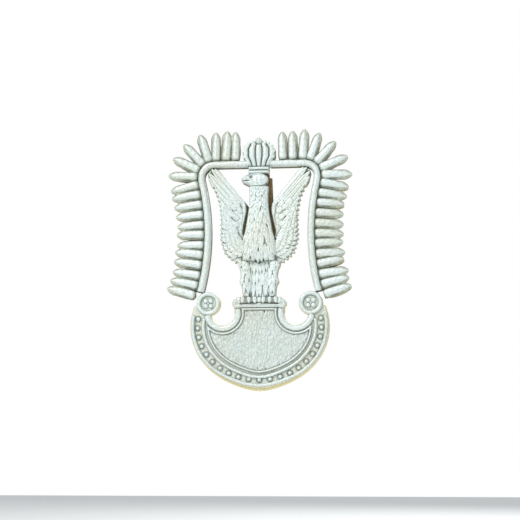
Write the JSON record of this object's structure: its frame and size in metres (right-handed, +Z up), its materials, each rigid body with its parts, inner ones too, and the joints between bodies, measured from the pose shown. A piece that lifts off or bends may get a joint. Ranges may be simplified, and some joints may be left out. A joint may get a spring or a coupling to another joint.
{
  "type": "cap badge",
  "caption": "Military cap badge: a crowned eagle on a crescent shield inside two swept plume wings, with a screw stud, washer, knurled nut and locating pins behind.",
  "frame": {"origin": "on the stud's axis, in the plane of the badge's flat back, which lies against the cap", "axes": "+Z up towards the crown, -Y out of the badge's face towards the viewer, +Y along the stud into the cap, +X to the viewer's right"},
  "size_m": [0.0416, 0.0145, 0.059],
  "materials": {
    "silvered_plate": "silver-plated brass, matt, worn to warm brass along its low outer edges",
    "silvered_relief": "silver-plated brass, pale satin, with dark tarnish in the hollows",
    "silvered_field": "silver-plated brass with a fine stippled ground",
    "plain_brass": "turned brass, lightly tarnished",
    "nut_brass": "turned and knurled brass",
    "washer_leather": "smooth vegetable-tanned leather"
  },
  "bodies": {
    "badge": {"shield_plate": "silvered_plate", "shield_rim": "silvered_relief", "inner_rim": "silvered_relief", "rim_beads": "silvered_relief", "left_crescent_rim": "silvered_relief", "right_crescent_rim": "silvered_relief", "field_border": "silvered_relief", "field_panel": "silvered_field", "left_scroll_ring": "silvered_relief", "right_scroll_ring": "silvered_relief", "left_rosette": "silvered_relief", "right_rosette": "silvered_relief", "perch": "silvered_relief", "eagle_plate": "silvered_plate", "eagle_body": "silvered_relief", "eagle_head": "silvered_relief", "left_wing": "silvered_relief", "right_wing": "silvered_relief", "left_leg": "silvered_relief", "right_leg": "silvered_relief", "tail": "silvered_relief", "crown_band": "silvered_relief", "crown_arches": "silvered_relief", "crown_orb": "silvered_relief", "left_plume_plate": "silvered_plate", "right_plume_plate": "silvered_plate", "left_plume_bar": "silvered_relief", "right_plume_bar": "silvered_relief", "left_plume_feathers": "silvered_relief", "right_plume_feathers": "silvered_relief", "stud_plate": "plain_brass", "stud": "plain_brass", "upper_pin": "plain_brass", "lower_pin": "plain_brass"},
    "washer": {"washer": "washer_leather"},
    "nut": {"nut": "nut_brass"}
  },
  "joints": [
    {"name": "nut_travel", "type": "slide", "parent": "badge", "child": "washer", "axis": [0, 1, 0], "range_m": [0, 0.007]},
    {"name": "nut_spin", "type": "hinge", "parent": "washer", "child": "nut", "pos_m": [0, 0.004, 0], "axis": [0, 1, 0], "range_deg": [0, 3601]}
  ],
  "couplings": [
    {"joint": "nut_spin", "follows": "nut_travel", "rad_per_m": 8976}
  ]
}
